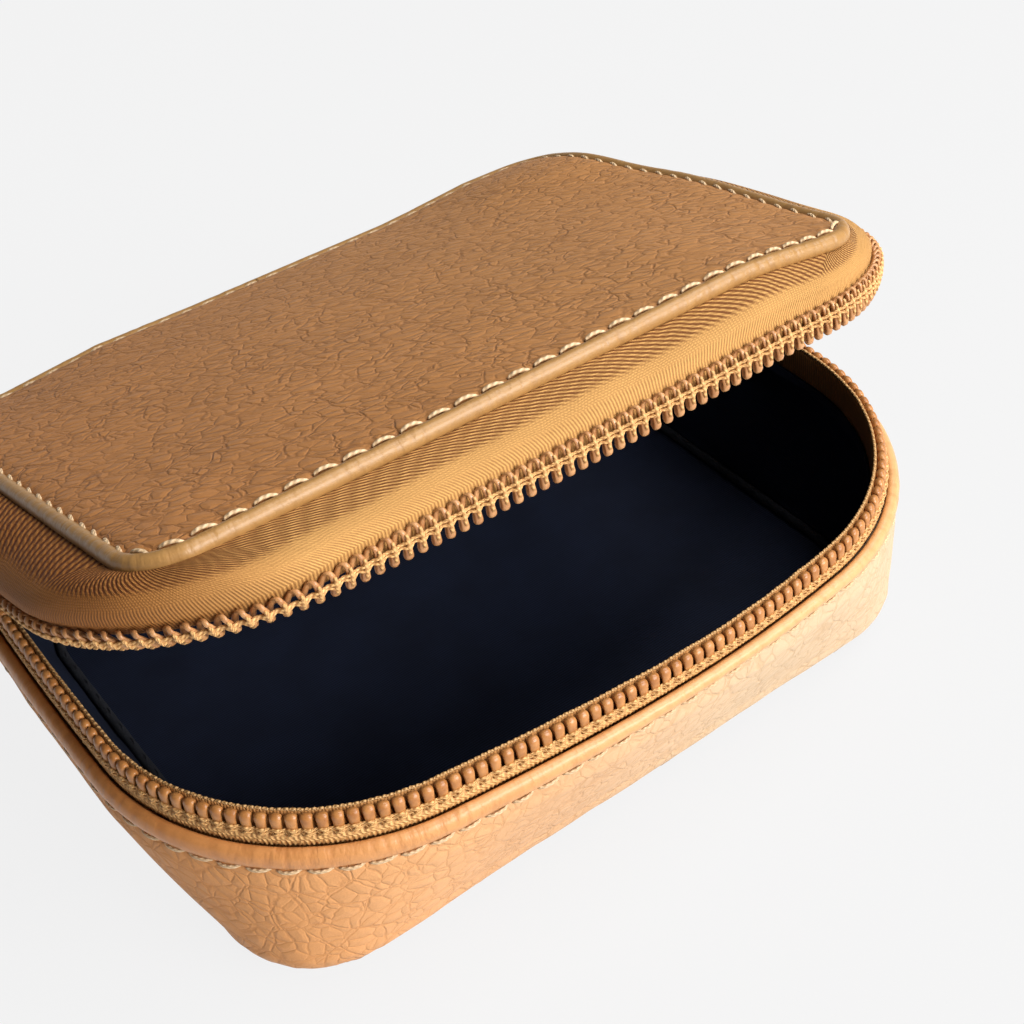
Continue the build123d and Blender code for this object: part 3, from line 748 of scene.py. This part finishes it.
def chain_threads(name, o, body, start, rise, phase, replaces, lid, down, base, slanted):
    """Two rows of lockstitch that pass over each leg of the coil and dip between legs."""
    s0, s1 = zip_ends(o)
    total = lengths(o, np.linspace(s0, s1, 4000), COIL_INSET)[-1]
    parts = []
    for side in (-1, 1):
        far = np.arange(start, total - 1.5, TOOTH_PITCH / 10)
        place = at_lengths(o, s0, s1, far, COIL_INSET)
        over = np.cos(2 * pi * (far / TOOTH_PITCH - phase))
        depth = 0.06 - 0.16 * over
        across = rise + side * (0.25 + 0.07 * over)
        path, out = chain_point(o, place, depth, across, down, base)
        parts.append(tube(path, 0.18 + 0.02 * over, 7, out))
    far = np.arange(start + 0.4, total - 2.0, TOOTH_PITCH)
    low, high, length = (-0.5, 0.42, 1.05) if slanted else (-1.1, 1.2, 0.0)
    for f0 in far:
        centre = (np.round(f0 / TOOTH_PITCH - phase) + phase) * TOOTH_PITCH
        t = np.linspace(0, 1, 7)
        place = at_lengths(o, s0, s1, centre + length * (t - 0.5), COIL_INSET)
        depth = 0.06 - 0.16 * np.sin(pi * t) - 0.05
        path, out = chain_point(o, place, depth, rise + low + (high - low) * t, down, base)
        parts.append(tube(path, (0.13 if slanted else 0.18) + 0.05 * np.sin(pi * t), 7, out))
    v, f, r = joined(parts)
    piece(name, v, f, r, body, CHAIN_THREAD, replaces, lid)


def tape_edge(along):
    """How far the tape's woven top edge rises and falls."""
    return 0.07 * np.cos(2 * pi * along / 0.78) + 0.1 * noise2(along, 0 * along, 1.9, 22)


def tray_tape():
    s0, s1 = zip_ends(RIM)
    s, along = spaced(RIM, s0 - 0.03, s1 + 0.03, 0.25)
    top = [(26.2, 2.52), (26.28, 2.42)]
    outer = [(z, 2.38) for z in (25.6, 24.3, 23.0, 20.5, 17.7)]
    inner = [(17.7, 2.88), (20.5, 2.9), (22.6, 2.92), (23.6, 2.95), (24.6, 2.95), (25.4, 2.9), (25.95, 2.78)]
    profile = [(RIM, inset, z) for z, inset in top + outer + inner]
    rows = skin(profile, s)
    level = np.array([q[2] for q in profile])[:, None]
    sag = 0.12 * noise2(along[None], level, 5.0, 21)
    loose = np.array([0] * 8 + [0.4, 1, 1, 0.8, 0.4, 0.1])[:, None]
    rows = push(rows, np.abs(sag) * -loose, False)
    rows[..., 2] += ramp(level, 25.3, 26.2) * tape_edge(along)[None]
    band("tray_zip_tape_cloth", rows, along, False, "tray", TRAY_TAPE, ("tray_zip_tape",))
    s, along = spaced(RIM, s0, s1, 0.2)
    q, n = trace(RIM, s, 2.62)
    v, f, r = tube(np.c_[q, 26.22 + tape_edge(along)], 0.19, 8, np.c_[n, np.zeros(len(n))])
    piece("tray_tape_cord", v, f, r, "tray", CORD)


def tray_bead_edge():
    """The woven edge that shows between the rim's roll and the coil."""
    s0, s1 = zip_ends(RIM)
    s, along = spaced(RIM, s0, s1, 0.11)
    q, n = trace(RIM, s, 1.62)
    path = np.c_[q, np.full(len(s), 23.1)]
    sides = 16
    v, f, r = tube(path, 1.0, sides, np.c_[n, np.zeros(len(n))], 1.0)
    v = v.reshape(len(s), sides, 3)
    angle = np.arange(sides) * 2 * pi / sides
    beads = np.cos(2 * pi * along[:, None] / 0.5 + 1.3 * np.sin(3 * angle)[None]) * np.cos(4 * angle)[None]
    radius = 0.46 + 0.075 * beads + 0.04 * noise2(along[:, None], angle[None] * 2, 0.4, 31)
    v = path[:, None] + (v - path[:, None]) * radius[..., None] * np.array([1, 1, 1.85])
    piece("tray_tape_edge", v.reshape(-1, 3), f, r, "tray", CHAIN_THREAD)


def linings():
    s, along = ring_places(RIM, 0.8)
    profile = []
    for z in (21.8, 21.9, 19.0, 15.0, 11.0, 8.0, 6.0, 4.4, 3.6, 2.9):
        o, extra = wall_at(min(z, 21.8))
        profile.append((o, extra + (3.42 if z != 21.8 else 3.2), z))
    for z in (2.8, 4.4, 8.0, 15.0, 21.7):
        o, extra = wall_at(z)
        profile.append((o, extra + 3.05, z))
    rows = skin(profile, s)
    inner = np.array([0.2, 0.3] + [1] * 7 + [0.3] + [0] * 5)[:, None]
    level = np.array([q[2] for q in profile])[:, None]
    broad = 0.5 + 0.5 * noise2(along[None], level * 0.5, 7.0, 41)
    fine = 0.5 + 0.5 * noise2(along[None], level, 2.6, 42)
    rows = push(rows, -inner * (0.35 * broad + 0.12 * fine), True)
    band("wall_lining_cloth", rows, along, True, "tray", NAVY, ("wall_lining",))
    plate(
        "floor_lining_cloth", BASE, 2.75, 2.3, 2.72, "tray", NAVY,
        ("floor_lining",), waves=0.3, seed=4,
    )


def binding():
    s, along = ring_places(BASE, 0.5)
    low = 3.35
    o, extra = wall_at(low)
    shape = []
    for k in range(12):
        angle = 2 * pi * k / 12
        shape.append((o, extra + 4.1 - 0.6 * cos(angle) * 1.05, low + 0.62 * sin(angle)))
    rows = skin(shape, s)
    level = np.arange(12)[:, None]
    rows = push(rows, 0.06 * noise2(along[None], level * 0.4, 1.1, 51) - 0.03, True)
    band("seam_binding_cloth", rows, along, True, "tray", BINDING, ("seam_binding",))
    p, tangent, out, up = ring_stitches(BASE, 0.25 + extra + 4.0, 0.3, False)
    slope = (up - out) / sqrt(2)
    places = np.c_[p, np.full(len(p), low + 0.42)]
    v, f, r = stitches(places, tangent, slope, up, 1.9, 0.3, 0.12, 0.16, 6)
    piece("seam_binding_stitches", v, f, r, "tray", BINDING)


def base():
    plate("base_board_card", BASE, 2.9, 1.2, 2.2, "tray", BOARD, ("base_board",))
    plate(
        "base_leather_panel", BASE, 2.1, 0.0, 1.12, "tray", SHELL_LEATHER,
        ("base_leather",), edge=0.5,
    )


# The lid

def lid_tape():
    s0, s1 = zip_ends(LINE)
    s, along = spaced(LINE, s0 - 0.03, s1 + 0.03, 0.3)
    _, n = trace(LINE, s)
    rows = []
    for rise in (1.95, 1.6, 1.2, 0.8, 0.4, 0.0, -0.35):
        point, _ = chain_point(LINE, s, np.full(len(s), 1.16), np.full(len(s), rise), True, LID_CHAIN)
        rows.append(point)
    foot, out = chain_point(LINE, s, np.full(len(s), 1.1), np.full(len(s), -0.5), True, LID_CHAIN)
    lean = leaning(s, True)
    head, _ = trace(PANEL, s, 1.3)
    head = np.c_[head, np.full(len(s), 33.2)]
    for t in np.linspace(0, 1, 13)[1:]:
        arch = 4 * t * (1 - t)
        lift = (0.55 + 1.5 * lean / radians(40)) * arch ** 0.8
        line = foot + (head - foot) * t ** 0.95
        away = line.copy()
        away[:, :2] += n * (lift * 0.75)[:, None]
        away[:, 2] += lift * 0.75
        rows.append(away)
    rows = np.array(rows)
    m = len(rows)
    level = np.arange(m)[:, None]
    face = np.clip((level - 6) / 3, 0, 1) * np.clip((m - 1 - level) / 2, 0, 1)
    rows = push(rows, -0.2 * face * noise2(along[None], level * 0.8, 6.0, 61), False)
    under = push(rows, np.full(rows.shape[:2], -0.5), False)
    both = np.concatenate([rows, under[::-1]])
    band("lid_zip_tape_cloth", both, along, False, "lid", TAPE, ("lid_zip_tape",), True)


def lid_roll():
    s, along = ring_places(PANEL, 0.28)
    shape = [
        (1.7, 33.1), (0.95, 32.85), (0.4, 32.92), (0.1, 33.2), (-0.03, 33.6), (-0.02, 34.0), (0.1, 34.35),
        (0.36, 34.62), (0.72, 34.76), (1.08, 34.74), (1.38, 34.6), (1.6, 34.4), (1.75, 34.1),
    ]
    rows = skin([(PANEL, i, z) for i, z in shape], s)
    weight = np.array([0, 0.2, 0.7, 1, 1, 1, 1, 1, 1, 1, 0.8, 0.4, 0])[:, None]
    level = np.arange(len(shape))[:, None]
    amount = weight * 0.04 * puckers(np.tile(along, (len(shape), 1)), level * 0.7, 71)
    rows = push(rows, amount, True)
    band(
        "lid_edge_roll_leather", rows, along, True, "lid", ROLL_LEATHER,
        ("panel_edge_roll",), True,
    )


def lid_pad():
    s, along = ring_places(PANEL, 0.45)
    centre = np.array([0, (PANEL.back - PANEL.front) / 2])
    edge, _ = trace(PANEL, s, 1.7)
    count = len(s)
    rows = []
    for k in (0.03, 0.4, 0.8, 0.97):
        rows.append(np.c_[centre + (edge - centre) * k, np.full(count, 32.9)])
    rows.append(np.c_[edge, np.full(count, 33.5)])
    start, _ = trace(PANEL, s, 1.45)
    rows.append(np.c_[start, np.full(count, 34.2)])
    stitch = np.cos(2 * pi * along / (along[-1] / round(along[-1] / STITCH_PITCH)))
    for inset in (1.5, 1.62, 1.8, 2.0, 2.25, 2.6, 3.0, 3.5, 4.1, 4.8, 5.6):
        p, _ = trace(PANEL, s, inset)
        d = inset - 1.5
        rise = 34.32 + 0.42 * (1 - np.exp(-d / 0.55)) + 0.18 * (1 - np.exp(-d / 2.0))
        rows.append(np.c_[p, rise + 0.05 * stitch * np.exp(-((d - 0.3) ** 2) / 0.2)])
    last, _ = trace(PANEL, s, 5.6)
    closing_in = [0.975, 0.945, 0.91, 0.87, 0.83, 0.78, 0.72, 0.66, 0.6]
    closing_in += [0.53, 0.46, 0.39, 0.32, 0.25, 0.18, 0.11, 0.05]
    for k in closing_in:
        p = centre + (last - centre) * k
        z = 34.9 + 0.62 * (1 - k**2.4) + 0.1 * (1 - k**6) * noise2(p[:, 0], p[:, 1], 11.0, 81)
        rows.append(np.c_[p, z])
    rows = np.array(rows)
    m, n = rows.shape[:2]
    faces = grid_faces(m, n, False, True)
    faces += row_ends(m, n)
    points = rows.reshape(-1, 3)
    pad = piece(
        "lid_panel_leather", points, faces, points, "lid", PANEL_LEATHER,
        ("panel_leather", "panel_foam"), True,
    )


def lid_stitching():
    p, tangent, out, up = ring_stitches(PANEL, 1.58, 0.5, True)
    places = np.c_[p, np.full(len(p), 34.72)]
    front = ramp(up[:, 1], 0.2, 0.8)
    v, f, r = stitches(places, tangent, out, up, 2.35, 0.36, -0.3, 0.25, 8, 0.4 * (1 - front))
    piece("lid_stitches", v, f, r, "lid", CREAM, ("panel_stitching",), True)


def lid_inside():
    plate("lid_board_card", PANEL, 2.0, 32.05, 32.8, "lid", BOARD, ("lid_board",), True)
    plate("lid_lining_cloth", PANEL, 2.35, 31.55, 31.95, "lid", NAVY, ("lid_lining",), True)
    s0, s1 = zip_ends(RIM)
    s, along = spaced(RIM, s1 - 8 + 0.02, s0 - 0.02, 0.8)
    outer = [(RIM, 2.55, 27.0), (RIM, 2.5, 28.0), (RIM, 2.5, LID_KNEE)]
    outer += [(between(RIM, PANEL, 0.55), 2.1, 30.6), (PANEL, 2.2, 31.5)]
    rows = skin([(o, i + 0.45, z) for o, i, z in reversed(outer)] + outer, s)
    band("lid_back_lining_cloth", rows, along, False, "lid", NAVY, ("lid_spine_lining",), True)


def lid_back():
    """The lid's leather back wall, from one end of the zip to the other."""
    s0, s1 = zip_ends(RIM)
    s, along = spaced(RIM, s1 - 8 + 0.02, s0 - 0.02, 0.5)
    outer = [(RIM, 1.6, LID_FOOT), (RIM, 1.42, 27.0), (RIM, 1.4, 28.0), (RIM, 1.4, LID_KNEE)]
    for t in (0.15, 0.3, 0.45, 0.6, 0.75, 0.9, 1.0):
        outer.append((between(RIM, PANEL, t), 1.4 + (0.6 - 1.4) * t - 0.25 * sin(pi * t), LID_KNEE + 3.6 * t))
    inner = [(o, i + 1.0, z) for o, i, z in reversed(outer[1:])]
    rows = skin(outer + [(RIM, 2.1, LID_FOOT)] + inner, s)
    order = list(range(len(outer))) + list(range(len(outer) + 1, len(rows))) + [len(outer)]
    rows = rows[order]
    m = len(outer)
    level = np.arange(len(rows))[:, None]
    rows = push(rows, 0.1 * (level < m) * noise2(along[None], level * 0.8, 7.0, 91), False)
    band("lid_back_leather", rows, along, False, "lid", PANEL_LEATHER, ("lid_spine",), True)


def hinge():
    """The leather hinge and its lining, which bend between the tray and the lid."""
    x = np.linspace(-33.5, 33.5, 90)
    for name, y_out, thick, low, high, slot, mat, replaces in (
        ("hinge_leather_strip", 38.62, 1.15, 19.0, 30.0, "panel_leather", PANEL_LEATHER, ("hinge_strip",)),
        ("hinge_lining_strip", 37.25, 0.4, 20.0, 29.4, "lining", NAVY, ()),
    ):
        z = np.r_[np.linspace(low, 24.6, 8), np.linspace(FOLD_LOW, FOLD_HIGH, 12), np.linspace(27.8, high, 6)]
        cols = []
        for side in (0, 1):
            y = y_out - thick * side
            order = z if side == 0 else z[::-1]
            for h in order:
                flat = np.c_[x, np.full(len(x), y), np.full(len(x), h)]
                cols.append(swung(flat, OPEN * ramp(h, FOLD_LOW, FOLD_HIGH)))
        rows = np.array(cols)
        m, n = rows.shape[:2]
        faces = grid_faces(m, n, True, False)
        faces += column_ends(m, n)
        run = grid_run(rows, x)
        obj = piece(name, rows.reshape(-1, 3), faces, run.reshape(-1, 3), None, mat, replaces)
        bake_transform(obj)


tray_wall()
rim_roll()
rim_stitching()
TRAY_PHASE = (COIL_START + TOOTH_PITCH) / TOOTH_PITCH % 1
LID_PHASE = (COIL_START + 1.5 * TOOTH_PITCH) / TOOTH_PITCH % 1
coil(
    "tray_coil", RIM, "tray", skip=0.0, phase=0.0, down=False, base=TRAY_CHAIN, mat=NYLON,
    replaces=("tray_zip_teeth",), lid=False, flat=2.1,
)
chain_threads(
    "tray_chain_threads", RIM, "tray", start=2.0, rise=1.4, phase=TRAY_PHASE,
    replaces=("tray_zip_thread",), lid=False, down=False, base=TRAY_CHAIN, slanted=True,
)
tray_tape()
tray_bead_edge()
linings()
binding()
base()
lid_tape()
lid_roll()
lid_pad()
lid_stitching()
lid_inside()
lid_back()
coil(
    "lid_coil", LINE, "lid", skip=11.1, phase=0.5, down=True, base=LID_CHAIN, mat=LID_NYLON,
    replaces=("lid_zip_teeth", "lid_zip_lead_teeth"), lid=True, flat=1.45,
)
chain_threads(
    "lid_chain_threads", LINE, "lid", start=12.5, rise=1.5, phase=LID_PHASE,
    replaces=("lid_zip_thread",), lid=True, down=True, base=LID_CHAIN, slanted=False,
)
hinge()

for node in ("tray_zip_stops", "lid_zip_stops", "slider_body", "slider_bail", "pull_tab"):
    metal_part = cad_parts[node]
    metal_part.data.materials.clear()
    metal_part.data.materials.append(METAL)


# Floor, light and camera

def studio():
    p = Paint("floor_paint")
    nodes = p.tree.nodes
    seen = p.add("LightPath")
    glossy = seen.node.outputs["Is Glossy Ray"]
    clear = seen.node.outputs["Is Transmission Ray"]
    lit = p.math("MAXIMUM", seen, p.math("MAXIMUM", glossy, clear))
    grain = p.noise(p.mm(), 0.01, 2.0)
    colour = p.mix(grain, rgb(0.80, 0.80, 0.80), rgb(0.82, 0.82, 0.82))
    p.finish(colour, 0.9)
    glow = p.add("Emission", {"Color": rgb(0.896, 0.896, 0.898), "Strength": 0.998})
    share = p.math("MULTIPLY", lit, 0.95)
    out = p.add("MixShader", {0: share, 1: p.shader.outputs[0], 2: glow})
    p.tree.links.new(out, nodes["Material Output"].inputs[0])
    mesh = bpy.data.meshes.new("floor")
    r = 3.0
    mesh.from_pydata([(-r, -r, 0), (r, -r, 0), (r, r, 0), (-r, r, 0)], [], [(0, 1, 2, 3)])
    mesh.materials.append(p.mat)
    floor = bpy.data.objects.new("floor", mesh)
    bpy.context.collection.objects.link(floor)

    world = bpy.data.worlds.new("studio")
    bpy.context.scene.world = world
    world.use_nodes = True
    tree = world.node_tree
    back = tree.nodes["Background"]
    path = tree.nodes.new("ShaderNodeLightPath")
    mix = tree.nodes.new("ShaderNodeMixShader")
    sky = tree.nodes.new("ShaderNodeBackground")
    sky.inputs[0].default_value = (0.905, 0.905, 0.906, 1)
    back.inputs[0].default_value = (1.0, 1.0, 1.0, 1)
    back.inputs[1].default_value = 0.1
    tree.links.new(path.outputs["Is Camera Ray"], mix.inputs[0])
    tree.links.new(back.outputs[0], mix.inputs[1])
    tree.links.new(sky.outputs[0], mix.inputs[2])
    tree.links.new(mix.outputs[0], tree.nodes["World Output"].inputs[0])


def lamp(name, place, aim, size, power, colour=(1, 1, 1)):
    data = bpy.data.lights.new(name, "AREA")
    data.shape = "RECTANGLE"
    data.size, data.size_y = size
    data.energy = power
    data.color = colour
    obj = bpy.data.objects.new(name, data)
    bpy.context.collection.objects.link(obj)
    obj.location = place
    way = (Vector(place) - Vector(aim)).normalized()
    obj.rotation_euler = way.to_track_quat("Z", "Y").to_euler()


# Where the photo was taken from, in millimetres, and the camera's turns about x, y and z in degrees
CAMERA_PLACE = (-79.703, -137.665, 155.905)
CAMERA_TURNS = (49.0779, 3.8346, -36.7846)
# The photo's width and the camera's distance to it, both in pixels
PHOTO_WIDTH, PHOTO_REACH, SENSOR = 1024.0, 1700.0, 36.0


def camera():
    data = bpy.data.cameras.new("camera")
    data.sensor_width = SENSOR
    data.lens = SENSOR * PHOTO_REACH / PHOTO_WIDTH
    data.clip_start = 0.005
    obj = bpy.data.objects.new("camera", data)
    bpy.context.collection.objects.link(obj)
    turns = Euler([radians(v) for v in CAMERA_TURNS])
    obj.matrix_world = Matrix.LocRotScale(Vector(CAMERA_PLACE) * MM, turns, None)
    bpy.context.scene.camera = obj


studio()
lamp("key", (0.22, -0.62, 0.36), (0, 0, 0.02), (0.5, 0.4), 8.4, (1.0, 0.985, 0.96))
lamp("top", (0.36, -0.10, 0.70), (0, 0, 0.02), (0.5, 0.5), 5.0)
camera()
bpy.context.scene.view_settings.view_transform = "Standard"
